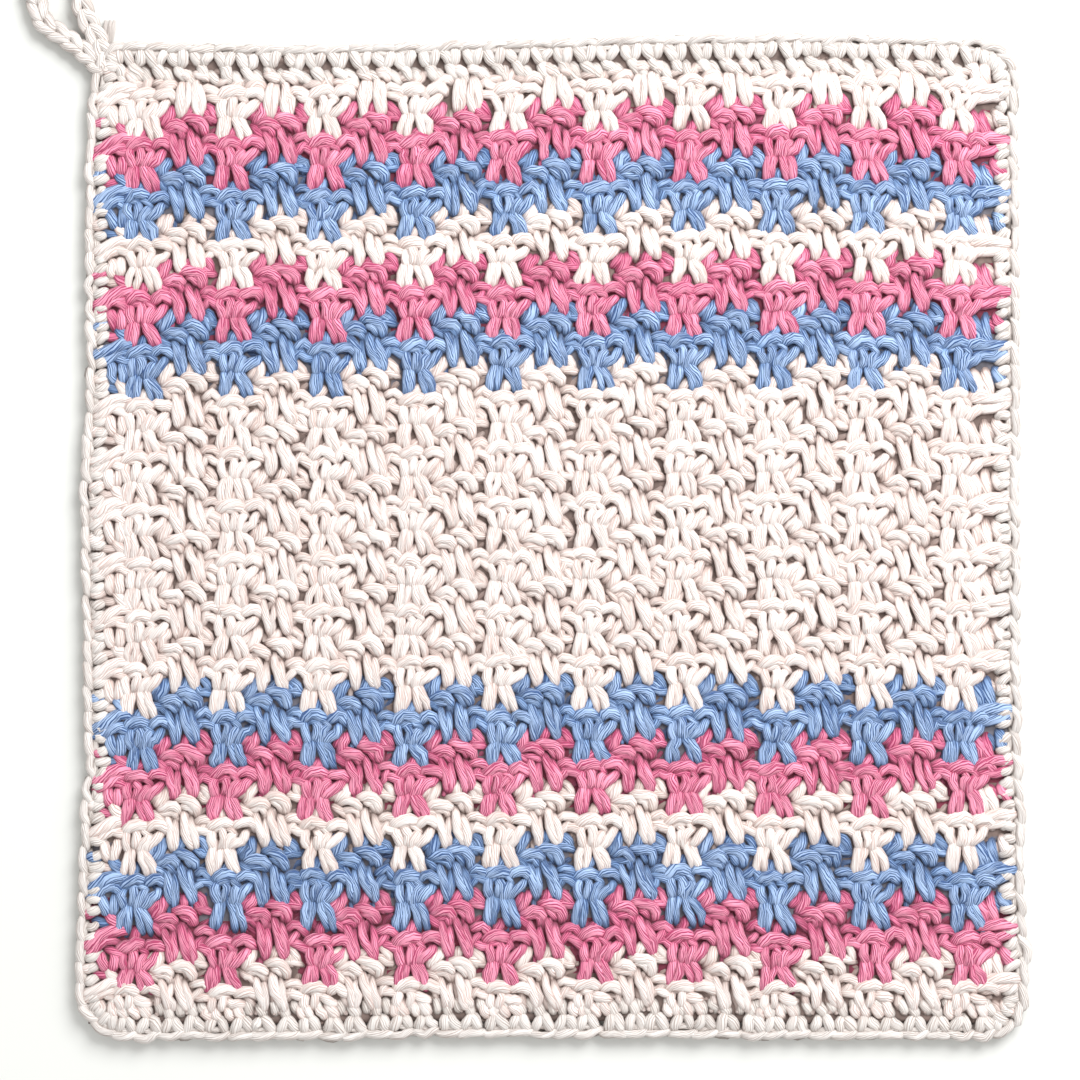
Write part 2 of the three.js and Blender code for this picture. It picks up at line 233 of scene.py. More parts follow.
# One border stitch, (squares along the edge, squares in from the outer edge, millimetres up).
BORDER_STITCH = chart(
    ("outer link", 2.4, 2.4, (-15, 8, 2.4), (-9, 5, 3.2), (0, 3.2, 3.5), (9, 3, 3.2), (16, 5, 2.4)),
    ("near loop", 2.0, 2.0, (-10, 9.5, 2.0), (-5, 9.5, 2.7), (3, 10, 2.7), (9, 9, 2.0)),
)
# The two legs of a stitch draw together inwards along the top and the bottom.
LEVEL_LEGS = chart(
    ("first leg", 3.1, 2.2, (-9.5, 7, 2.0), (-7.5, 11, 3.2), (-4.5, 17, 3.5), (-1, 23, 2.5)),
    ("second leg", 3.1, 2.2, (8.5, 6.5, 2.0), (6.5, 10.5, 3.2), (4, 17, 3.4), (1, 23, 2.4)),
)
# Along the sides the legs lie one above the other and slant a little.
SIDE_LEGS = chart(
    ("first leg", 2.9, 2.2, (-8.5, 8.5, 2.0), (-7.5, 13, 3.3), (-5.5, 18.5, 3.5), (-2.5, 25, 2.4)),
    ("second leg", 2.7, 2.2, (2.5, 8.5, 2.0), (4, 13, 3.2), (6, 18.5, 3.4), (8.5, 24, 2.4)),
)
# Under each stitch of the top border, two wraps of the last row slant down from the stitch's foot.
BORDER_SLANTS = chart(
    ("slant", 3.2, 2.2, (-4, 20, 2.2), (0, 26, 3.1), (4, 31, 3.1), (9, 38, 2.2)),
    ("slant between", 3.0, 2.1, (6, 25, 1.9), (10, 30, 2.7), (14, 36, 2.8), (20, 43, 2.0)),
)
# Over each stitch of the bottom border, two short posts rise into the first row.
BORDER_POSTS = chart(
    ("post", 3.1, 2.1, (0, 20, 2.1), (1, 26, 2.8), (3, 32, 2.8), (4, 38, 1.9)),
    ("post between", 2.9, 2.1, (12, 24, 1.9), (12, 29, 2.6), (14, 35, 2.7), (15, 40, 1.9)),
)

# One chain stitch of the hanging loop, (squares along, squares to the side, millimetres up).
CHAIN_STITCH = chart(
    ("left half", 3.0, 2.4,
     (-7, -0.6, 2.9), (-1, -2.6, 3.4), (6, -5.4, 3.2), (13, -5.6, 2.5), (18, -4, 1.7)),
    ("right half", 3.0, 2.4, (-7, 0.6, 2.9), (-1, 2.6, 3.4), (6, 5.4, 3.2), (13, 5.6, 2.5), (18, 4, 1.7)),
    ("back bar", 3.2, 2.1, (-7, 0, 1.6), (2, 1, 1.2), (11, -1, 1.2), (20, 0, 1.6)),
)


def smoothstep(share: np.ndarray) -> np.ndarray:
    """Return share eased at both ends: 3 s squared less 2 s cubed, held between 0 and 1."""
    held = np.clip(share, 0.0, 1.0)
    return held * held * (3.0 - 2.0 * held)


def read_edge(table: Rows, place: np.ndarray) -> np.ndarray:
    """Return how far an edge stands out at each place along it.

    Args:
        table: rows of (place along the edge, distance out past the straight line).
        place: places along the edge.

    Returns:
        The distance out, eased by smoothstep from each row to the next.
    """
    at, out = np.array(table, float).T
    row = np.clip(np.searchsorted(at, place) - 1, 0, len(at) - 2)
    share = smoothstep((place - at[row]) / (at[row + 1] - at[row]))
    return out[row] + (out[row + 1] - out[row]) * share


@dataclass
class ClothPlan:
    """The outline of the cloth and the places of its columns and bands."""

    width: float = CLOTH_WIDTH
    length: float = CLOTH_LENGTH
    # The corners are counted clockwise from the top left.
    corner_radii: tuple[float, ...] = (7.0, 11.0, 11.0, 13.5)
    # The first column's middle and the step to the next are shares of the width.
    columns: int = 10
    first_column: float = 0.0577
    column_step: float = 0.0974
    # The bands are counted from the bottom. Past the first and the last they are squeezed to a share.
    body_bottom: float = -127.6
    band_heights: tuple[float, ...] = (
        13.8, 15.4, 14.9, 14.6, 13.8, 14.9, 14.3, 14.3, 14.3,
        14.6, 14.3, 14.3, 14.4, 14.2, 13.1, 14.2, 13.8, 14.3,
    )
    squares_per_band: float = 52.9
    squeeze_below: float = 0.4
    squeeze_above: float = 0.5
    # Towards the left edge the rows sink, but not at the very bottom.
    left_droop: float = 1.3
    left_droop_from: float = -85.0
    left_droop_to: float = -117.0
    droop_fade_bands: float = 1.5
    # Rows of (height, then how far the columns lean to the right at each of these shares of the width).
    sway_shares: tuple[float, ...] = (0.0, 0.155, 0.35, 0.545, 0.74, 0.934, 1.0)
    sway: Rows = (
        (-102, 0.0, -0.1, 0.2, -1.1, -0.7, 0.7, 0.0), (-72, 0.0, -1.5, -1.2, -1.6, -1.9, 0.4, 0.0),
        (-43, 0.0, -1.1, -0.7, -1.7, -0.1, 1.0, 0.0), (0, 0.0, 2.2, 1.1, -1.0, -1.3, -0.2, 0.0),
        (50, 0.0, 0.4, 0.0, -0.6, -1.2, 0.1, 0.0), (84, 0.0, 0.4, 0.0, 0.5, 0.6, 0.7, 0.0),
        (113, 0.0, -0.3, 0.5, 1.2, 1.2, -0.3, 0.0),
    )
    # For each edge, rows of (place along the edge, distance out past the straight line).
    left_edge: Rows = (
        (-121, 2.6), (-105, 2.3), (-93, 1.5), (-74, 1.0), (-62, -0.4), (-40, 0.2), (9, 1.0), (48, -0.4),
        (98, -0.1), (116, -0.9), (129, -2.6),
    )
    right_edge: Rows = (
        (-122, 2.2), (-114, 2.5), (-93, 1.2), (-74, 1.4), (-55, 0.2), (10, -0.2), (60, 0.0), (124, -0.4),
    )
    top_edge: Rows = (
        (-118, -1.2), (-95, -1.8), (-68, -2.0), (-41, -1.5), (-14, -0.7), (26, 0.4), (66, 0.9), (100, 0.4),
        (118, -0.6),
    )
    bottom_edge: Rows = ((-112, 0.9), (-60, 0.8), (-30, 0.1), (30, 0.1), (60, 0.7), (114, 0.6))

    def settle(self, x: np.ndarray, y: np.ndarray) -> tuple[np.ndarray, np.ndarray]:
        """Move points of the straight rectangle to where they lie in the uneven cloth.

        Args:
            x: places across.
            y: places up.

        Returns:
            The moved x and y: each edge's unevenness fades in a straight line to the edge across from it.
        """
        across = x / self.width + 0.5
        up = y / self.length + 0.5
        left = -read_edge(self.left_edge, y)
        right = read_edge(self.right_edge, y)
        bottom = -read_edge(self.bottom_edge, x)
        top = read_edge(self.top_edge, x)
        return x + left + (right - left) * across, y + bottom + (top - bottom) * up

    def height_of(self, band: np.ndarray) -> np.ndarray:
        """Return the height in the straight rectangle of places counted in bands.

        Args:
            band: places counted in bands from the bottom.

        Returns:
            Their y. Past the first and the last band, a mean band's height is squeezed to its share.
        """
        lines = self.body_bottom + np.concatenate([[0.0], np.cumsum(self.band_heights)])
        count = len(self.band_heights)
        mean = float(np.mean(self.band_heights))
        inside = np.interp(band, np.arange(count + 1), lines)
        below = np.minimum(band, 0.0) * mean * self.squeeze_below
        above = np.maximum(band - count, 0.0) * mean * self.squeeze_above
        return inside + below + above

    def place(self, across: np.ndarray, band: np.ndarray) -> tuple[np.ndarray, np.ndarray]:
        """Return where a place in the worked cloth lies.

        Args:
            across: millimetres across from the middle of the straight rectangle.
            band: height counted in bands.

        Returns:
            The settled x and y. The rows sink a little towards the left edge.
        """
        y = self.height_of(band)
        sunk = smoothstep((across - self.left_droop_from) / (self.left_droop_to - self.left_droop_from))
        fade = smoothstep(band / self.droop_fade_bands)
        return self.settle(across + self.sway_at(across, y), y - self.left_droop * sunk * fade)

    def sway_at(self, across: np.ndarray, y: np.ndarray) -> np.ndarray:
        """Return how far the columns lean to the right.

        Args:
            across: places across.
            y: places up.

        Returns:
            The lean at each place, on straight lines between the entries of the sway table.
        """
        table = np.array(self.sway, float)
        share = across / self.width + 0.5
        rows = np.stack([np.interp(share, self.sway_shares, row) for row in table[:, 1:]])
        place = np.interp(y, table[:, 0], np.arange(len(table)))
        low = np.minimum(place.astype(int), len(table) - 2)
        below = np.take_along_axis(rows, low[None], axis=0)[0]
        above = np.take_along_axis(rows, low[None] + 1, axis=0)[0]
        return below + (above - below) * (place - low)

    def column_at(self, column: np.ndarray) -> np.ndarray:
        """Return the place across of a column, counted from the left."""
        return (self.first_column + self.column_step * column - 0.5) * self.width

    def column_of(self, across: np.ndarray) -> np.ndarray:
        """Return the column, counted from the left, of a place across."""
        return (across / self.width + 0.5 - self.first_column) / self.column_step


@dataclass
class BorderLine:
    """The rounded rectangle that the border follows, read by length along it, clockwise from above."""

    plan: ClothPlan
    steps_per_corner: int = 12
    x: np.ndarray = field(init=False)
    y: np.ndarray = field(init=False)
    run: np.ndarray = field(init=False)
    inward: np.ndarray = field(init=False)

    def __post_init__(self) -> None:
        """Lay out the corners in turn: a quarter circle each, joined by straight runs."""
        half_width = self.plan.width / 2
        half_length = self.plan.length / 2
        turns = np.linspace(0.0, math.pi / 2, self.steps_per_corner)
        signs = ((-1, 1), (1, 1), (1, -1), (-1, -1))
        xs, ys, angles = [], [], []
        for quarter, (radius, (side, end)) in enumerate(zip(self.plan.corner_radii, signs)):
            angle = math.pi - quarter * math.pi / 2 - turns
            xs.append(side * (half_width - radius) + radius * np.cos(angle))
            ys.append(end * (half_length - radius) + radius * np.sin(angle))
            angles.append(angle)
        x, y, angle = np.concatenate(xs), np.concatenate(ys), np.concatenate(angles)
        self.x, self.y = np.append(x, x[0]), np.append(y, y[0])
        self.inward = np.append(angle, angle[0] - 2 * math.pi) + math.pi
        self.run = np.concatenate([[0.0], np.cumsum(np.hypot(np.diff(self.x), np.diff(self.y)))])

    @property
    def length(self) -> float:
        """The length once round."""
        return float(self.run[-1])

    def sideways(self, along: np.ndarray) -> np.ndarray:
        """Return 1 where the edge runs at a side, 0 at the top or bottom, and between in the corners."""
        return np.cos(np.interp(np.mod(along, self.length), self.run, self.inward)) ** 2

    def at(self, along: np.ndarray, inset: np.ndarray) -> tuple[np.ndarray, np.ndarray]:
        """Return the settled places of points beside the edge.

        Args:
            along: lengths along the edge.
            inset: distances in from it.

        Returns:
            Their x and y.
        """
        turn = np.mod(along, self.length)
        angle = np.interp(turn, self.run, self.inward)
        x = np.interp(turn, self.run, self.x) + inset * np.cos(angle)
        y = np.interp(turn, self.run, self.y) + inset * np.sin(angle)
        return self.plan.settle(x, y)


def spline_weights(points: int, rings: int) -> np.ndarray:
    """Return the weights that carry control points to places on a Catmull-Rom spline.

    Args:
        points: number of control points.
        rings: number of places, evenly spaced in the spline's own parameter.

    Returns:
        An array of rings by points. Past each end the line is continued straight: twice the end less its
        neighbour stands for the missing point.
    """
    place = np.linspace(0.0, points - 1.0, rings)
    segment = np.minimum(place.astype(int), points - 2)
    s = place - segment
    parts = np.stack([
        -0.5 * s**3 + s**2 - 0.5 * s,
        1.5 * s**3 - 2.5 * s**2 + 1.0,
        -1.5 * s**3 + 2.0 * s**2 + 0.5 * s,
        0.5 * s**3 - 0.5 * s**2,
    ])
    padded = np.zeros((rings, points + 2))
    ring = np.arange(rings)
    for offset, part in enumerate(parts):
        padded[ring, segment + offset] += part
    weights = padded[:, 1:-1].copy()
    weights[:, 0] += 2.0 * padded[:, 0]
    weights[:, 1] -= padded[:, 0]
    weights[:, -1] += 2.0 * padded[:, -1]
    weights[:, -2] -= padded[:, -1]
    return weights


def corner_uvs(*corners: tuple[np.ndarray, np.ndarray]) -> np.ndarray:
    """Return the UV of equal faces, from the u and the v of each corner in turn."""
    return np.stack([np.stack(np.broadcast_arrays(u, v), axis=-1) for u, v in corners], axis=-2)


@dataclass
class StrandWeaver:
    """Collects strands and makes them one mesh of closed, tapered tubes."""

    # The source of all unevenness in the strands.
    rng: np.random.Generator
    sides: int = 8
    rings_per_span: float = 1.6
    # Charted widths are multiplied by fullness, and tops may pass the cloth's face by room_above.
    fullness: float = 1.0
    girth_shift: float = 0.06
    room_above: float = 0.1
    # A tip lies past the last ring by tip_reach times half the thickness there.
    end_girth: float = 0.5
    taper_power: float = 2.6
    tip_reach: float = 0.55
    longest_start: float = 40.0
    points: list[np.ndarray] = field(default_factory=list)
    faces: list[np.ndarray] = field(default_factory=list)
    corners: list[np.ndarray] = field(default_factory=list)
    tones: list[np.ndarray] = field(default_factory=list)
    count: int = 0

    def lay(self, strand: Strand, route: np.ndarray) -> None:
        """Add a strand's routes, each a little thicker or thinner and held between the cloth's two faces.

        Args:
            strand: the chart's strand.
            route: stitches by points by xyz, in millimetres.
        """
        girth = 1.0 + self.rng.normal(0.0, self.girth_shift, (2, len(route)))
        thickness = strand.thickness * girth[1]
        room = 0.5 * thickness[:, None]
        route[:, :, 2] = np.clip(route[:, :, 2], room, CLOTH_THICKNESS - room + self.room_above)
        self.add(route, self.fullness * strand.width * girth[0], thickness)

    def add(self, route: np.ndarray, width: np.ndarray, thickness: np.ndarray) -> None:
        """Add tubes along many routes at once.

        Each ring is an ellipse: centre plus half the width times cos a along the side, plus half the
        thickness times sin a along the strand's own up. The girth is full in the middle and falls to
        end_girth at both ends, and a single point closes each end.

        Args:
            route: strands by control points by xyz, in millimetres.
            width: the full width of each strand.
            thickness: the full thickness of each strand.
        """
        strands, controls, _ = route.shape
        rings = int(round((controls - 1) * self.rings_per_span)) + 1
        line = np.einsum("rc,sck->srk", spline_weights(controls, rings), route)
        ahead = np.gradient(line, axis=1)
        ahead /= np.linalg.norm(ahead, axis=2, keepdims=True)
        side = np.cross(ahead, (0.0, 0.0, 1.0))
        side /= np.maximum(np.linalg.norm(side, axis=2, keepdims=True), TINY)
        up = np.cross(side, ahead)
        share = np.linspace(-1.0, 1.0, rings)
        girth = self.end_girth + (1.0 - self.end_girth) * np.sqrt(1.0 - np.abs(share) ** self.taper_power)
        half_width = 0.5 * width[:, None] * girth
        half_thickness = 0.5 * thickness[:, None] * girth
        angle = -math.pi / 2 + 2.0 * math.pi * np.arange(self.sides) / self.sides
        ring = (
            line[:, :, None, :]
            + (half_width[:, :, None] * np.cos(angle))[..., None] * side[:, :, None, :]
            + (half_thickness[:, :, None] * np.sin(angle))[..., None] * up[:, :, None, :]
        )
        reach = self.tip_reach * half_thickness
        first_tip = line[:, 0] - ahead[:, 0] * reach[:, :1]
        last_tip = line[:, -1] + ahead[:, -1] * reach[:, -1:]
        block = np.concatenate([ring.reshape(strands, -1, 3), first_tip[:, None], last_tip[:, None]], axis=1)
        block[:, :, 2] = np.maximum(block[:, :, 2], 0.0)
        self.points.append(block.reshape(-1, 3))
        self._join(strands, rings)
        self._unroll(line, width)
        self.tones.append(np.repeat(self.rng.uniform(-1.0, 1.0, strands), block.shape[1]))
        self.count += strands * block.shape[1]

    def _join(self, strands: int, rings: int) -> None:
        """Add the faces of equal strands: four corners between rings, and a fan of three round each tip.

        Args:
            strands: number of strands.
            rings: number of rings in each.
        """
        ring, step = np.meshgrid(np.arange(rings - 1), np.arange(self.sides), indexing="ij")
        after = (step + 1) % self.sides
        here = ring * self.sides
        above = here + self.sides
        quads = np.stack([here + step, here + after, above + after, above + step], axis=-1).reshape(-1, 4)
        fan = np.arange(self.sides)
        fan_after = (fan + 1) % self.sides
        tip = np.full(self.sides, rings * self.sides)
        last = (rings - 1) * self.sides
        first_fan = np.stack([fan_after, fan, tip], axis=-1)
        last_fan = np.stack([last + fan, last + fan_after, tip + 1], axis=-1)
        start = self.count + (rings * self.sides + 2) * np.arange(strands)[:, None, None]
        self.faces.append((quads[None] + start).reshape(-1, 4))
        self.faces.append((np.concatenate([first_fan, last_fan])[None] + start).reshape(-1, 3))

    def _unroll(self, line: np.ndarray, width: np.ndarray) -> None:
        """Add the UV of the same faces: u is millimetres along the strand, and v runs once round it.

        Args:
            line: strands by rings by xyz, the middle line of each strand.
            width: the full width of each strand.
        """
        steps = np.linalg.norm(np.diff(line, axis=1), axis=2)
        length = np.concatenate([np.zeros((len(line), 1)), np.cumsum(steps, axis=1)], axis=1)
        length += self.rng.uniform(0.0, self.longest_start, (len(line), 1))
        turn = np.arange(self.sides + 1) / self.sides
        v, v_next = turn[:-1], turn[1:]
        u, u_next = length[:, :-1, None], length[:, 1:, None]
        self.corners.append(corner_uvs((u, v), (u, v_next), (u_next, v_next), (u_next, v)).reshape(-1, 2))
        near, far = length[:, :1], length[:, -1:]
        v_middle = (v + v_next) / 2
        tip_length = 0.5 * width[:, None] * self.tip_reach
        first_fan = corner_uvs((near, v_next), (near, v), (near - tip_length, v_middle))
        last_fan = corner_uvs((far, v), (far, v_next), (far + tip_length, v_middle))
        self.corners.append(np.concatenate([first_fan, last_fan], axis=1).reshape(-1, 2))

    def mesh(self, name: str) -> bpy.types.Mesh:
        """Return one smooth mesh of all the strands, with its yarn UV map and each strand's own tone."""
        co = np.concatenate(self.points) * METRES
        sizes = np.concatenate([np.full(len(f), f.shape[1]) for f in self.faces])
        index = np.concatenate([f.ravel() for f in self.faces])
        mesh = bpy.data.meshes.new(name)
        mesh.vertices.add(len(co))
        mesh.vertices.foreach_set("co", co.astype(np.float32).ravel())
        mesh.loops.add(len(index))
        mesh.loops.foreach_set("vertex_index", index.astype(np.int32))
        mesh.polygons.add(len(sizes))
        starts = np.concatenate([[0], np.cumsum(sizes)[:-1]])
        mesh.polygons.foreach_set("loop_start", starts.astype(np.int32))
        mesh.polygons.foreach_set("use_smooth", np.ones(len(sizes), bool))
        uv = mesh.uv_layers.new(name="yarn")
        uv.data.foreach_set("uv", np.concatenate(self.corners).astype(np.float32).ravel())
        tone = mesh.attributes.new("strand_tone", "FLOAT", "POINT")
        tone.data.foreach_set("value", np.concatenate(self.tones).astype(np.float32))
        mesh.update(calc_edges=True)
        return mesh


def show(mesh: bpy.types.Mesh, slot: Yarn, *finishes: bpy.types.Material) -> bpy.types.Object:
    """Return a piece of the cloth, riding on the cloth's one body.

    Args:
        mesh: the piece's mesh, which gives it its name.
        slot: the yarn that the log names for it.
        finishes: its materials.
    """
    for finish in finishes:
        mesh.materials.append(finish)
    piece = bpy.data.objects.new(mesh.name, mesh)
    bpy.context.scene.collection.objects.link(piece)
    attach(piece, BODY)
    sizes = np.empty(len(mesh.polygons), np.int32)
    mesh.polygons.foreach_get("loop_total", sizes)
    LOG.info("%s: %s, %d triangles", piece.name, slot.value, int((sizes - 2).sum()))
    return piece


@dataclass(frozen=True)
class NodeMaker:
    """Adds nodes to a tree and links them, to keep the materials short."""

    tree: bpy.types.NodeTree

    def node(self, kind: str, **settings: object) -> bpy.types.Node:
        """Return a new node with these properties set."""
        made = self.tree.nodes.new(kind)
        for name, value in settings.items():
            setattr(made, name, value)
        return made

    def feed(self, node: bpy.types.Node, **inputs: object) -> bpy.types.Node:
        """Give a node's inputs their values or links.

        Args:
            node: the node.
            inputs: a value or an output for each input, under its name with underscores for its spaces,
                or under i and its number.

        Returns:
            The node.
        """
        for name, value in inputs.items():
            socket = node.inputs[int(name[1:])] if name[0] == "i" and name[1:].isdigit() else None
            socket = socket or node.inputs[name.replace("_", " ")]
            if isinstance(value, bpy.types.NodeSocket):
                self.tree.links.new(value, socket)
            else:
                socket.default_value = value
        return node

    def math(self, operation: str, *values: object, clamp: bool = False) -> bpy.types.NodeSocket:
        """Return the output of a Math node on these values."""
        made = self.node("ShaderNodeMath", operation=operation, use_clamp=clamp)
        self.feed(made, **{f"i{index}": value for index, value in enumerate(values)})
        return made.outputs[0]

    def blend(self, share: object, a: object, b: object) -> bpy.types.NodeSocket:
        """Return colour a going over to colour b as share goes from 0 to 1."""
        made = self.node("ShaderNodeMix", data_type="RGBA")
        self.feed(made, i0=share, i6=a, i7=b)
        return made.outputs[2]

    def ease(
        self, value: object, start: float, stop: float, first: float, last: float
    ) -> bpy.types.NodeSocket:
        """Return first going smoothly over to last as the value goes from start to stop."""
        made = self.node("ShaderNodeMapRange", interpolation_type="SMOOTHSTEP")
        self.feed(made, i0=value, i1=start, i2=stop, i3=first, i4=last)
        return made.outputs[0]


@dataclass(frozen=True)
class PlyTwist:
    """The plies and the fibres of a strand, as one node group that every yarn's material uses."""

    plies: float = 14.0
    twist: float = -0.45
    contrast: float = 1.0
    wander_along: float = 0.22
    wander_round: float = 3.5
    wander_reach: float = 1.3
    fibre_along: float = 0.13
    fibre_across: float = 1.9
    fibre_roughness: float = 0.6
    fibre_share: float = 2.8
    ply_share: float = 0.8
    lines_mean: float = 1.91
    ridge_mean: float = 0.62
    tuft_scale: float = 1.5
    detail: float = 2.0

    def group(self) -> bpy.types.NodeTree:
        """Return the group, which puts out the ridges and the tufts, both from 0 to 1.

        Over the strand, place is plies times v, plus twist times u, plus a slow wander. The lines are a
        share of the size of the sine of pi times the place, plus a share of noise that is drawn out along
        the strand at that place, less their mean. The ridges are their own mean plus the contrast times
        the lines. The tufts are noise as slow as the wander.
        """
        group = bpy.data.node_groups.new("ply_twist", "ShaderNodeTree")
        for label, usual in (("Plies", self.plies), ("Twist", self.twist), ("Contrast", self.contrast)):
            socket = group.interface.new_socket(label, in_out="INPUT", socket_type="NodeSocketFloat")
            socket.default_value = usual
        for label in ("Ridge", "Tuft"):
            group.interface.new_socket(label, in_out="OUTPUT", socket_type="NodeSocketFloat")
        make = NodeMaker(group)
        given = make.node("NodeGroupInput")
        uv = make.node("ShaderNodeUVMap", uv_map="yarn")
        split = make.feed(make.node("ShaderNodeSeparateXYZ"), i0=uv.outputs[0])
        u, v = split.outputs[0], split.outputs[1]
        wander = self._noise(make, u, self.wander_along, v, self.wander_round)
        place = make.math("ADD", make.math("MULTIPLY", v, given.outputs["Plies"]),
                          make.math("MULTIPLY", u, given.outputs["Twist"]))
        place = make.math("MULTIPLY_ADD", wander, self.wander_reach, place)
        sine = make.math("ABSOLUTE", make.math("SINE", make.math("MULTIPLY", place, math.pi)))
        fibres = self._noise(
            make, u, self.fibre_along, place, self.fibre_across, Roughness=self.fibre_roughness
        )
        fibres = make.math("MULTIPLY_ADD", fibres, self.fibre_share, -self.lines_mean)
        lines = make.math("MULTIPLY_ADD", sine, self.ply_share, fibres)
        ridge = make.math("MULTIPLY_ADD", lines, given.outputs["Contrast"], self.ridge_mean, clamp=True)
        tuft = self._noise(make, u, self.wander_along, v, self.wander_round, Scale=self.tuft_scale)
        make.feed(make.node("NodeGroupOutput"), Ridge=ridge, Tuft=tuft)
        return group

    def _noise(
        self, make: NodeMaker, along: object, along_scale: float, across: object, across_scale: float,
        **settings: float,
    ) -> bpy.types.NodeSocket:
        """Return noise over the strand's surface.

        Args:
            make: the maker for the group's nodes.
            along: the place along the strand.
            along_scale: what it is multiplied by.
            across: the place across its lines.
            across_scale: what that is multiplied by.
            settings: inputs of the noise other than the usual.
        """
        x = make.math("MULTIPLY", along, along_scale)
        y = make.math("MULTIPLY", across, across_scale)
        at = make.feed(make.node("ShaderNodeCombineXYZ"), i0=x, i1=y).outputs[0]
        noise = make.node("ShaderNodeTexNoise", noise_dimensions="2D")
        return make.feed(noise, **{"i0": at, "Scale": 1.0, "Detail": self.detail, **settings}).outputs[0]


@dataclass(frozen=True)
class YarnFinish:
    """The finish of one yarn: the colour on its plies, the painted shade in its grooves, and its tints."""

    yarn: Yarn
    light: Colour
    shade: Colour
    tint: Colour
    painted_shade: Colour
    # Each strand's own tone, from -1 to 1, changes the contrast of its lines, and its tint.
    contrast: float = 1.1
    tone_contrast: float = 0.25
    # The tint goes on in patches and tufts as the yarn's own uneven colour, and more on the low strands than
    # on the high ones as painted shade.
    tint_share: float = 0.6
    painted_shade_tint_from: float = 1.2
    painted_shade_tint_to: float = 2.1
    painted_shade_tint_low: float = 0.8
    painted_shade_tint_high: float = -0.1
    tint_start: float = -0.75
    tone_tint: float = 0.3
    tuft_tint: float = 0.9
    patch_tint: float = 0.8
    patch_scale: float = 38.0
    # Painted shade goes on near the cloth's middle height, where the strands shade each other and little
    # light comes.
    painted_shade_from: float = 0.3
    painted_shade_to: float = 1.7
    painted_shade_share: float = 0.8
    groove_gain: float = 1.5
    groove_start: float = 0.36
    groove_depth: float = 0.25
    groove_bump: float = 0.85
    sheen: float = 0.2
    sheen_roughness: float = 0.45
    specular: float = 0.25
    roughness: float = 0.86

    def material(self, plies: bpy.types.NodeTree) -> bpy.types.Material:
        """Return the yarn's material: ply grooves with painted shade from its UV map, tints and painted
        shade from where it lies in the cloth.

        Args:
            plies: the group for the plies of a strand.
        """
        made = bpy.data.materials.new(self.yarn.value)
        made.use_nodes = True
        make = NodeMaker(made.node_tree)
        twist = make.node("ShaderNodeGroup", node_tree=plies)
        tone = make.node("ShaderNodeAttribute", attribute_name="strand_tone").outputs["Fac"]
        make.feed(twist, Contrast=make.math("MULTIPLY_ADD", tone, self.tone_contrast, self.contrast))
        where = make.node("ShaderNodeTexCoord").outputs["Object"]
        height = make.feed(make.node("ShaderNodeSeparateXYZ"), i0=where).outputs[2]
        off_middle = make.math("ABSOLUTE", make.math("SUBTRACT", height, CLOTH_THICKNESS * METRES / 2))
        share = self._tint(make, off_middle, tone, twist.outputs["Tuft"], where)
        tinted = make.blend(share, (*self.light, 1.0), (*self.tint, 1.0))
        # Painted shade in the grooves between the plies, which go over to the groove colour; the fibre lines
        # in it are partly the yarn's own uneven tone.
        groove = make.math("SUBTRACT", 1.0, twist.outputs["Ridge"])
        groove = make.math("MULTIPLY_ADD", groove, self.groove_gain, -self.groove_start, clamp=True)
        lined = make.blend(groove, tinted, (*self.shade, 1.0))
        # Painted shade: the surface darkens towards the cloth's middle height, where the strands shade each
        # other.
        depth = make.ease(off_middle, self.painted_shade_from * METRES, self.painted_shade_to * METRES, 1.0, 0.0)
        colour = make.blend(make.math("MULTIPLY", depth, self.painted_shade_share), lined, (*self.painted_shade, 1.0))
        bump = make.node("ShaderNodeBump")
        make.feed(bump, Strength=self.groove_bump, Distance=self.groove_depth * METRES)
        make.feed(bump, Height=twist.outputs["Ridge"])
        shader = made.node_tree.nodes["Principled BSDF"]
        make.feed(shader, Base_Color=colour, Normal=bump.outputs[0], Roughness=self.roughness)
        make.feed(shader, Sheen_Weight=self.sheen, Sheen_Roughness=self.sheen_roughness)
        make.feed(shader, Specular_IOR_Level=self.specular)
        return made

    def _tint(
        self, make: NodeMaker, off_middle: bpy.types.NodeSocket, tone: bpy.types.NodeSocket,
        tuft: bpy.types.NodeSocket, where: bpy.types.NodeSocket,
    ) -> bpy.types.NodeSocket:
        """Return the share of the tint: a sum of the height's, which is painted shade on the low strands,
        and the strand's, the tufts' and the patches', which are the yarn's own uneven colour.

        Args:
            make: the maker for the material's nodes.
            off_middle: how far the surface is above or below the cloth's middle height.
            tone: the strand's own tone.
            tuft: the tufts of its fibres.
            where: the place in the cloth.
        """
        patch = make.feed(make.node("ShaderNodeTexNoise"), i0=where, Scale=self.patch_scale, Detail=2.0)
        # Painted shade: the low strands take more of the darker tint, the high ones less.
        low = make.ease(
            off_middle, self.painted_shade_tint_from * METRES, self.painted_shade_tint_to * METRES, self.painted_shade_tint_low, self.painted_shade_tint_high
        )
        uneven = make.math("ADD", low, make.math("MULTIPLY_ADD", tone, self.tone_tint, self.tint_start))
        uneven = make.math("MULTIPLY_ADD", tuft, self.tuft_tint, uneven)
        mixed = make.math("MULTIPLY_ADD", patch.outputs[0], self.patch_tint, uneven, clamp=True)
        return make.math("MULTIPLY", mixed, self.tint_share)


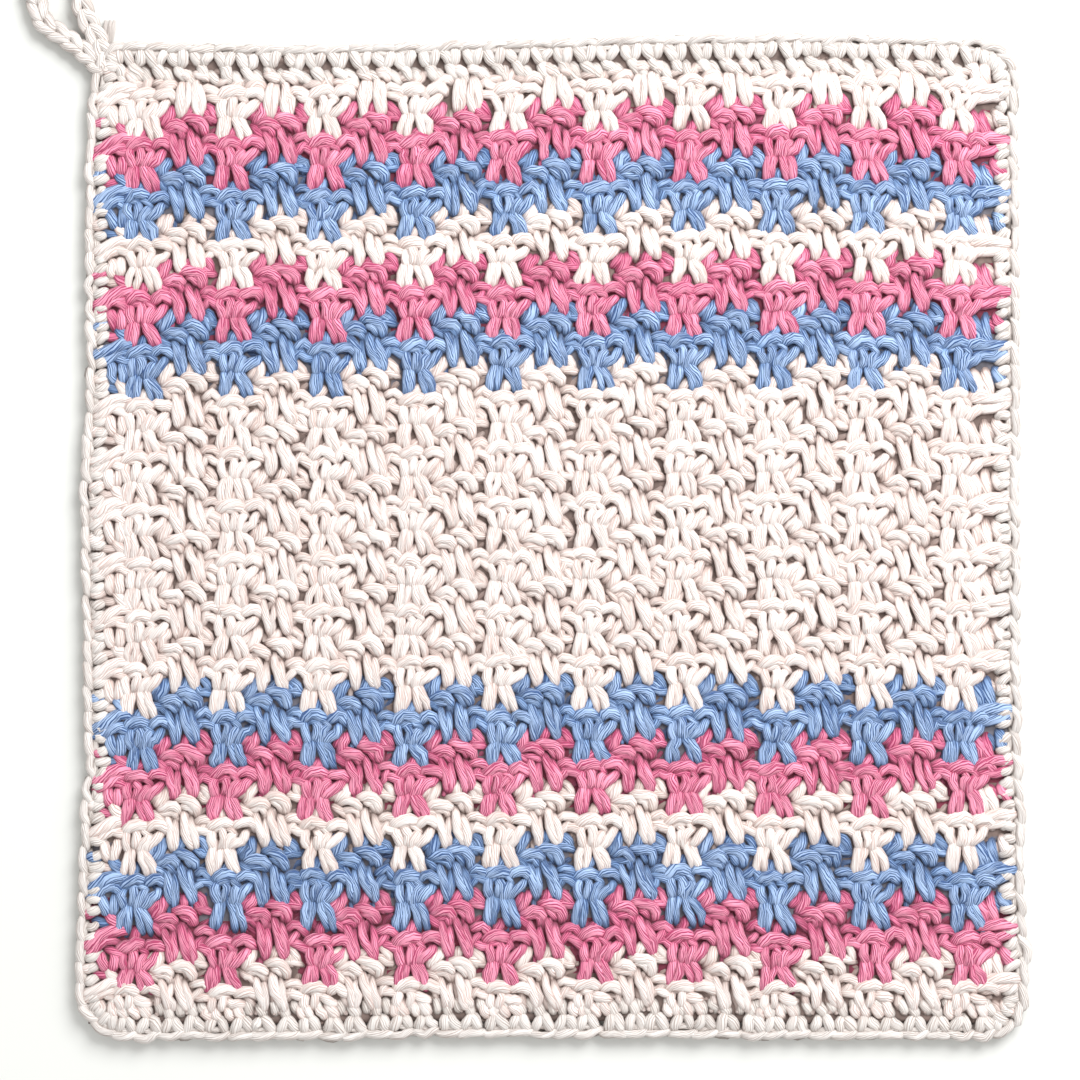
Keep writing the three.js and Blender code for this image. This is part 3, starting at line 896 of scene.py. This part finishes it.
OFF_WHITE = YarnFinish(
    Yarn.BORDER, light=(0.87, 0.83, 0.80), shade=(0.53, 0.44, 0.40), tint=(0.82, 0.75, 0.70),
    painted_shade=(0.17, 0.12, 0.10), contrast=0.8, painted_shade_to=1.5, painted_shade_share=0.6,
)
FINISHES = (
    YarnFinish(
        Yarn.CREAM, light=(0.97, 0.92, 0.89), shade=(0.71, 0.53, 0.48), tint=(0.88, 0.70, 0.635),
        painted_shade=(0.24, 0.15, 0.125), contrast=0.9,
    ),
    YarnFinish(
        Yarn.PINK, light=(0.98, 0.37, 0.52), shade=(0.44, 0.05, 0.14), tint=(0.76, 0.15, 0.30),
        painted_shade=(0.16, 0.02, 0.05), tint_share=0.8, contrast=1.6,
    ),
    YarnFinish(
        Yarn.BLUE, light=(0.42, 0.57, 0.84), shade=(0.045, 0.10, 0.26), tint=(0.17, 0.31, 0.58),
        painted_shade=(0.035, 0.055, 0.13), tint_share=0.8, contrast=1.6,
    ),
    OFF_WHITE,
    replace(OFF_WHITE, yarn=Yarn.LOOP, painted_shade_share=0.35),
)


@dataclass(frozen=True)
class GapShadeFinish:
    """Painted shade for the yarn in the gaps of a band: a dark, dull colour where it is in shadow."""

    yarn: Yarn
    colour: Colour
    darker: float = 0.55
    patch_scale: float = 420.0
    patch_gain: float = 3.0
    patch_start: float = 1.0
    roughness: float = 0.95

    def material(self) -> bpy.types.Material:
        """Return a dull material of painted shade, its colour falling to the darker share of itself in soft
        patches.
        """
        made = bpy.data.materials.new(f"{self.yarn.value}_gap_shade")
        made.use_nodes = True
        make = NodeMaker(made.node_tree)
        where = make.node("ShaderNodeTexCoord").outputs["Object"]
        patch = make.feed(make.node("ShaderNodeTexNoise"), i0=where, Scale=self.patch_scale, Detail=3.0)
        share = make.math("MULTIPLY_ADD", patch.outputs[0], self.patch_gain, -self.patch_start, clamp=True)
        low = tuple(value * self.darker for value in self.colour)
        colour = make.blend(share, (*low, 1.0), (*self.colour, 1.0))
        make.feed(made.node_tree.nodes["Principled BSDF"], Base_Color=colour, Roughness=self.roughness)
        return made


# Painted shade: the colours seen in the gaps between the strands, where little light reaches.
GAP_SHADE_FINISHES = (
    GapShadeFinish(Yarn.CREAM, (0.24, 0.175, 0.155)),
    GapShadeFinish(Yarn.PINK, (0.22, 0.04, 0.07)),
    GapShadeFinish(Yarn.BLUE, (0.19, 0.18, 0.21)),
)


@dataclass
class StripedBody:
    """The striped body, worked in bands of paired legs and knots."""

    plan: ClothPlan
    # How far whole stitches and their points stray from the chart, along the surface and in height.
    cell_shift: float = 0.38
    point_shift: float = 0.3
    height_shift: float = 0.1
    # The strands are a little fuller than charted, and stand a little higher than the border's.
    fullness: float = 1.08
    room_above: float = 0.15
    # The knots stand this many bands lower than the legs beside them.
    knot_drop: float = 0.475
    second_knot_drop: float = 0.57
    # In the lower bands the row ends at the right stand a little higher.
    end_lift: float = 0.17
    end_lift_below: float = 10.5
    end_lift_fade: float = 2.5
    # The back has coarser tubes, and leaves out the last strands of each chart.
    back_left_out: int = 5
    back_sides: int = 6
    back_rings_per_span: float = 1.0
    pieces: list[bpy.types.Object] = field(default_factory=list)

    def build(self, finishes: dict[Yarn, bpy.types.Material]) -> None:
        """Make one mesh for each band, in its own yarn."""
        for band, yarn in enumerate(STRIPES):
            rng = np.random.default_rng(SEED + band)
            weaver = StrandWeaver(rng, fullness=self.fullness, room_above=self.room_above)
            self._work_band(weaver, band)
            self.pieces.append(show(weaver.mesh(f"band_{band + 1:02d}"), yarn, finishes[yarn]))

    def _work_band(self, weaver: StrandWeaver, band: int) -> None:
        """Work a band: its legs, knots and row ends, then the same legs and knots on the back.

        Args:
            weaver: takes the strands.
            band: the band, counted from the bottom.
        """
        legs = np.arange(self.plan.columns - 1) + 0.5
        knots = np.arange(self.plan.columns, dtype=float)
        last = band == len(STRIPES) - 1
        self._work(weaver, TOP_LEG_PAIR if last else LEG_PAIR, legs, band)
        if band == 0:
            self._work(weaver, BOTTOM_FILL, legs, band)
            self._work(weaver, BOTTOM_KNOT, knots, band)
        else:
            drop = self.second_knot_drop if band == 1 else self.knot_drop
            self._work(weaver, KNOT, knots, band - drop)
        if last:
            self._work(weaver, TOP_FILL, knots, band - self.knot_drop)
        self._work_end(weaver, LEFT_END, -1.0, band)
        lift = self.end_lift * smoothstep((self.end_lift_below - band) / self.end_lift_fade)
        self._work_end(weaver, RIGHT_END, 1.0, band + lift)
        weaver.sides = self.back_sides
        weaver.rings_per_span = self.back_rings_per_span
        self._work(weaver, LEG_PAIR[:-self.back_left_out], knots, band - self.knot_drop, back=True)
        self._work(weaver, KNOT[:-self.back_left_out], legs, band, back=True)

    def _work(
        self, weaver: StrandWeaver, strands: tuple[Strand, ...], columns: np.ndarray, base: float,
        back: bool = False,
    ) -> None:
        """Work one chart at each column of a band, a little unlike each time.

        Args:
            weaver: takes the strands.
            strands: the chart of the stitch.
            columns: the columns, counted from the left.
            base: the height of the stitch's foot, counted in bands.
            back: whether the stitch shows on the back, turned over.
        """
        cell = weaver.rng.normal(0.0, self.cell_shift, (len(columns), 1, 2))
        for strand in strands:
            route = strand.routes(len(columns), weaver.rng, self.point_shift, self.height_shift, cell)
            if back:
                route[:, :, 0] *= -1.0
                route[:, :, 2] = CLOTH_THICKNESS - route[:, :, 2]
            across = self.plan.column_at(columns)[:, None] + route[:, :, 0]
            self._settle(weaver, strand, route, across, base)

    def _work_end(
        self, weaver: StrandWeaver, strands: tuple[Strand, ...], side: float, base: float
    ) -> None:
        """Work the row's end at one side, with its points counted inwards from the outer edge.

        Args:
            weaver: takes the strands.
            strands: the chart of the row's end.
            side: -1 at the left and 1 at the right.
            base: the height of the row's foot, counted in bands.
        """
        for strand in strands:
            route = strand.routes(1, weaver.rng, self.point_shift)
            across = side * (self.plan.width / 2 - route[:, :, 0])
            self._settle(weaver, strand, route, across, base)

    def _settle(
        self, weaver: StrandWeaver, strand: Strand, route: np.ndarray, across: np.ndarray, base: float
    ) -> None:
        """Hand routes to the weaver where they lie in the cloth.

        Args:
            weaver: takes the strands.
            strand: the chart's strand.
            route: stitches by points by xyz, as charted.
            across: where its points stand across the straight rectangle.
            base: the height of the chart's foot, counted in bands.
        """
        band = base + route[:, :, 1] / (CHART_SQUARE * self.plan.squares_per_band)
        route[:, :, 0], route[:, :, 1] = self.plan.place(across, band)
        weaver.lay(strand, route)


@dataclass
class GroundSheet:
    """The mass of yarn between the two faces, as a thin uneven sheet behind the gaps, its colour painted
    shade.
    """

    plan: ClothPlan
    seed: int = SEED + 500
    cells_per_column: int = 8
    cells_past_columns: int = 4
    cells_per_band: int = 4
    first_band: float = -0.55
    past_last_band: float = 0.3
    middle: float = CLOTH_THICKNESS / 2
    depth: float = 0.5
    edge_inset: float = 3.2
    unevenness: float = 0.14
    # Nearer to a knot's column than this share of a step, each band's colour starts knot_lift bands lower.
    # Elsewhere it starts leg_lift bands lower, which is a little higher, because that is below 0.
    knot_reach: float = 0.25
    knot_lift: float = 0.4
    leg_lift: float = -0.1

    def build(self) -> bpy.types.Object:
        """Return the sheet: a grid in columns and bands, in the painted gap shade of each band."""
        rng = np.random.default_rng(self.seed)
        columns = self.plan.columns * self.cells_per_column + self.cells_past_columns
        reach = self.plan.width / 2 - self.edge_inset
        last_band = len(self.plan.band_heights) + self.past_last_band
        rows = int(round((last_band - self.first_band) * self.cells_per_band))
        across, band = np.meshgrid(
            np.linspace(-reach, reach, columns + 1), np.linspace(self.first_band, last_band, rows + 1),
        )
        x, y = self.plan.place(across, band)
        z = self.middle + rng.normal(0.0, self.unevenness, x.shape)
        row, column = np.meshgrid(np.arange(rows), np.arange(columns), indexing="ij")
        corner = row * (columns + 1) + column
        quads = np.stack([corner, corner + 1, corner + columns + 2, corner + columns + 1], axis=-1)
        mesh = bpy.data.meshes.new("ground")
        mesh.from_pydata(np.stack([x, y, z], axis=-1).reshape(-1, 3) * METRES, [], quads.reshape(-1, 4))
        mesh.polygons.foreach_set("use_smooth", np.ones(len(mesh.polygons), bool))
        piece = show(mesh, Yarn.CREAM, *[finish.material() for finish in GAP_SHADE_FINISHES])
        mesh.polygons.foreach_set("material_index", self._finish_index(across, band).ravel())
        thicken = piece.modifiers.new("depth", "SOLIDIFY")
        thicken.thickness = self.depth * METRES
        thicken.offset = 0.0
        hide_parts("cloth")
        return piece

    def _finish_index(self, across: np.ndarray, band: np.ndarray) -> np.ndarray:
        """Return which gap finish each cell of the grid has.

        Args:
            across: the grid's places across.
            band: its heights counted in bands.

        Returns:
            The number of the finish of the band whose stitches lie over the cell's middle.
        """
        band = (band[:-1, :-1] + band[1:, 1:]) / 2
        column = self.plan.column_of((across[:-1, :-1] + across[1:, 1:]) / 2)
        at_knot = np.abs(column - np.round(column)) < self.knot_reach
        lifted = np.floor(band + np.where(at_knot, self.knot_lift, self.leg_lift)).astype(int)
        over = np.clip(lifted, 0, len(self.plan.band_heights) - 1)
        yarns = [finish.yarn for finish in GAP_SHADE_FINISHES]
        return np.array([yarns.index(yarn) for yarn in STRIPES], np.int32)[over]


@dataclass
class Edging:
    """The border: single stitches worked round the whole body."""

    line: BorderLine
    seed: int = SEED + 700
    stitch_pitch: float = 6.2
    first_stitch: float = 2.5
    wobble: float = 0.3
    height_shift: float = 0.08
    side_squeeze: float = 0.06
    rings_per_span: float = 2.0
    back_sides: int = 6
    back_rings_per_span: float = 1.5

    def build(self, finishes: dict[Yarn, bpy.types.Material]) -> bpy.types.Object:
        """Return the border as one mesh: each stitch has an outer link, a near loop and two legs.

        Args:
            finishes: the material of each yarn.
        """
        rng = np.random.default_rng(self.seed)
        weaver = StrandWeaver(rng, rings_per_span=self.rings_per_span)
        count = int(round(self.line.length / self.stitch_pitch))
        pitch = self.line.length / count
        starts = self.first_stitch + np.arange(count) * pitch
        starts = starts + rng.normal(0.0, self.wobble, count)
        level = self.line.sideways(starts) < 0.5
        top = starts < self.line.length / 2
        everywhere = np.ones(count, bool)
        worked = (
            (BORDER_STITCH, everywhere), (LEVEL_LEGS, level), (SIDE_LEGS, ~level),
            (BORDER_SLANTS, level & top), (BORDER_POSTS, level & ~top),
        )
        for strands, places in worked:
            self._work(weaver, strands, starts[places])
        weaver.sides = self.back_sides
        weaver.rings_per_span = self.back_rings_per_span
        self._work(weaver, (BORDER_STITCH[0], *LEVEL_LEGS), starts, back=True)
        piece = show(weaver.mesh("border_stitches"), Yarn.BORDER, finishes[Yarn.BORDER])
        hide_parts("edging")
        return piece

    def _work(
        self, weaver: StrandWeaver, strands: tuple[Strand, ...], starts: np.ndarray, back: bool = False
    ) -> None:
        """Work one chart at some of the border's stitches.

        Args:
            weaver: takes the strands.
            strands: the chart, with its points counted along the edge and in from it.
            starts: the length along the edge at the middle of each stitch.
            back: whether the strands show on the back.
        """
        for strand in strands:
            route = strand.routes(len(starts), weaver.rng, self.wobble, self.height_shift)
            if back:
                route[:, :, 2] = CLOTH_THICKNESS - route[:, :, 2]
            along = starts[:, None] + route[:, :, 0]
            inset = route[:, :, 1] * (1.0 - self.side_squeeze * self.line.sideways(along))
            route[:, :, 0], route[:, :, 1] = self.line.at(along, inset)
            weaver.lay(strand, route)


@dataclass
class HangingLoop:
    """The chain at the top left corner, with the cut end of its yarn."""

    seed: int = SEED + 900
    pitch: float = 4.4
    wobble: float = 0.12
    line_steps: int = 400
    sides: int = 10
    rings_per_span: float = 2.5
    # The chain's middle line, from its foot at the corner round to the corner again.
    lie: Rows = (
        (-121.8, 126.6), (-125.6, 130.5), (-132.3, 135.7), (-136.1, 138.0), (-138.4, 141.0), (-139.4, 145.0),
        (-140.6, 151.5), (-139.9, 157.2), (-136.8, 161.6), (-132.6, 163.0), (-130.8, 162.0), (-127.9, 157.8),
        (-126.7, 151.5), (-127.2, 145.0), (-125.8, 140.2), (-123.1, 135.0), (-120.6, 128.8),
    )
    # The cut end: rows of (x, y, height, how far its plies spread to each side).
    cut_end: Rows = ((-121.4, 130.2, 1.2, 0.4), (-120.6, 134.4, 1.3, 0.7), (-119.8, 140.2, 0.9, 1.2))
    cut_plies: int = 3
    ply_width: float = 1.7
    ply_thickness: float = 1.4
    ply_height_shift: float = 0.15

    def build(self, finishes: dict[Yarn, bpy.types.Material]) -> bpy.types.Object:
        """Return the loop as one mesh: chain stitches along its line, and the plies of the cut end.

        Args:
            finishes: the material of each yarn.
        """
        rng = np.random.default_rng(self.seed)
        weaver = StrandWeaver(rng, sides=self.sides, rings_per_span=self.rings_per_span)
        self._chain(weaver)
        self._cut_end(weaver)
        piece = show(weaver.mesh("loop_chain"), Yarn.LOOP, finishes[Yarn.LOOP])
        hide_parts("hanging_loop")
        return piece

    def _chain(self, weaver: StrandWeaver) -> None:
        """Work chain stitches along the loop's line, with their points counted along it and aside."""
        controls = np.array(self.lie, float)
        line = spline_weights(len(controls), self.line_steps) @ controls
        run = np.concatenate([[0.0], np.cumsum(np.linalg.norm(np.diff(line, axis=0), axis=1))])
        ahead = np.gradient(line, axis=0)
        ahead /= np.linalg.norm(ahead, axis=1, keepdims=True)
        count = int(run[-1] / self.pitch)
        starts = np.linspace(0.0, run[-1] - self.pitch, count)
        for strand in CHAIN_STITCH:
            route = strand.routes(count, weaver.rng, self.wobble)
            along = starts[:, None] + route[:, :, 0]
            middle = [np.interp(along, run, line[:, axis]) for axis in (0, 1)]
            forward = [np.interp(along, run, ahead[:, axis]) for axis in (0, 1)]
            aside = route[:, :, 1].copy()
            route[:, :, 0] = middle[0] + forward[1] * aside
            route[:, :, 1] = middle[1] - forward[0] * aside
            weaver.add(route, np.full(count, strand.width), np.full(count, strand.thickness))

    def _cut_end(self, weaver: StrandWeaver) -> None:
        """Lay the plies of the cut end side by side, spreading towards their tips."""
        table = np.array(self.cut_end, float)
        route = np.repeat(table[None, :, :3], self.cut_plies, axis=0)
        route[:, :, 0] += np.linspace(-1.0, 1.0, self.cut_plies)[:, None] * table[:, 3]
        route[:, :, 2] += self.ply_height_shift * weaver.rng.normal(size=(self.cut_plies, len(table)))
        width = np.full(self.cut_plies, self.ply_width)
        weaver.add(route, width, np.full(self.cut_plies, self.ply_thickness))


@dataclass
class Studio:
    """The camera above the cloth, the pale floor and the soft light. Its lengths are in metres."""

    view_width: float = 0.2916
    distance: float = 0.8
    centre: tuple[float, float] = (-0.00324, -0.000675)
    sensor: float = 36.0
    clip_start: float = 0.05
    floor_size: float = 3.0
    floor_colour: Colour = (0.79, 0.80, 0.775)
    floor_roughness: float = 0.7
    key_place: tuple[float, float, float] = (0.42, 0.6, 0.7)
    key_size: float = 0.6
    key_power: float = 12.0
    fill_colour: Colour = (1.0, 0.995, 0.985)
    fill_strength: float = 0.76

    def camera(self) -> None:
        """Make the camera look straight down at the middle of the picture."""
        data = bpy.data.cameras.new("camera")
        data.sensor_width = self.sensor
        data.lens = self.sensor * self.distance / self.view_width
        data.clip_start = self.clip_start
        camera = bpy.data.objects.new("camera", data)
        camera.location = (*self.centre, self.distance + CLOTH_THICKNESS * METRES)
        bpy.context.scene.collection.objects.link(camera)
        bpy.context.scene.camera = camera

    def floor(self) -> None:
        """Lay the plain pale floor under the cloth."""
        half = self.floor_size / 2
        mesh = bpy.data.meshes.new("floor")
        corners = [(-half, -half, 0.0), (half, -half, 0.0), (half, half, 0.0), (-half, half, 0.0)]
        mesh.from_pydata(corners, [], [(0, 1, 2, 3)])
        paint = bpy.data.materials.new("floor_paint")
        paint.use_nodes = True
        shader = paint.node_tree.nodes["Principled BSDF"]
        shader.inputs["Base Color"].default_value = (*self.floor_colour, 1.0)
        shader.inputs["Roughness"].default_value = self.floor_roughness
        mesh.materials.append(paint)
        floor = bpy.data.objects.new("floor", mesh)
        bpy.context.scene.collection.objects.link(floor)

    def light(self) -> None:
        """Light the cloth softly from the upper right, with a pale fill from all round."""
        data = bpy.data.lights.new("key", "AREA")
        data.size = self.key_size
        data.energy = self.key_power
        lamp = bpy.data.objects.new("key", data)
        lamp.location = self.key_place
        lamp.rotation_euler = (-Vector(self.key_place)).to_track_quat("-Z", "Y").to_euler()
        scene = bpy.context.scene
        scene.collection.objects.link(lamp)
        world = bpy.data.worlds.new("world")
        world.use_nodes = True
        back = world.node_tree.nodes["Background"]
        back.inputs["Color"].default_value = (*self.fill_colour, 1.0)
        back.inputs["Strength"].default_value = self.fill_strength
        scene.world = world
        scene.view_settings.view_transform = "Standard"
        scene.view_settings.look = "None"


def main() -> None:
    """Build the camera, the cloth's pieces and the studio, in order."""
    logging.basicConfig(level=logging.INFO, format="%(message)s")
    studio = Studio()
    studio.camera()
    plies = PlyTwist().group()
    finishes = {finish.yarn: finish.material(plies) for finish in FINISHES}
    plan = ClothPlan()
    ground = GroundSheet(plan).build()
    body = StripedBody(plan)
    body.build(finishes)
    border = Edging(BorderLine(plan)).build(finishes)
    loop = HangingLoop().build(finishes)
    studio.floor()
    studio.light()


if __name__ == "__main__":
    main()
